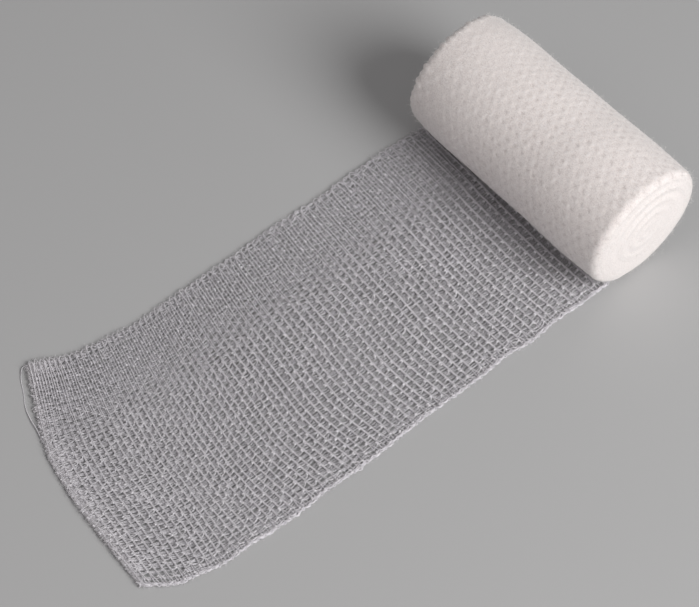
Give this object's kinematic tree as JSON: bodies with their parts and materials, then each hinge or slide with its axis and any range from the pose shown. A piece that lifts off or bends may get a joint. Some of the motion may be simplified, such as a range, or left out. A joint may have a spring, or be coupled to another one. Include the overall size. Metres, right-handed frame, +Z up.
{
  "type": "elastic gauze bandage roll",
  "caption": "Small roll of open-weave elastic bandage lying on its side, with its loose end drawn out flat in front of it.",
  "frame": {"origin": "middle of the flat spot under the roll, on the surface that the bandage lies on", "axes": "+X along the roll towards its fuller end, -Y along the loose end, +Z up"},
  "size_m": [0.0844, 0.1985, 0.0398],
  "materials": {
    "gauze": "matt white open weave of thin wefts and soft crimped warps"
  },
  "bodies": {
    "root": {"bandage": "gauze"}
  },
  "joints": []
}
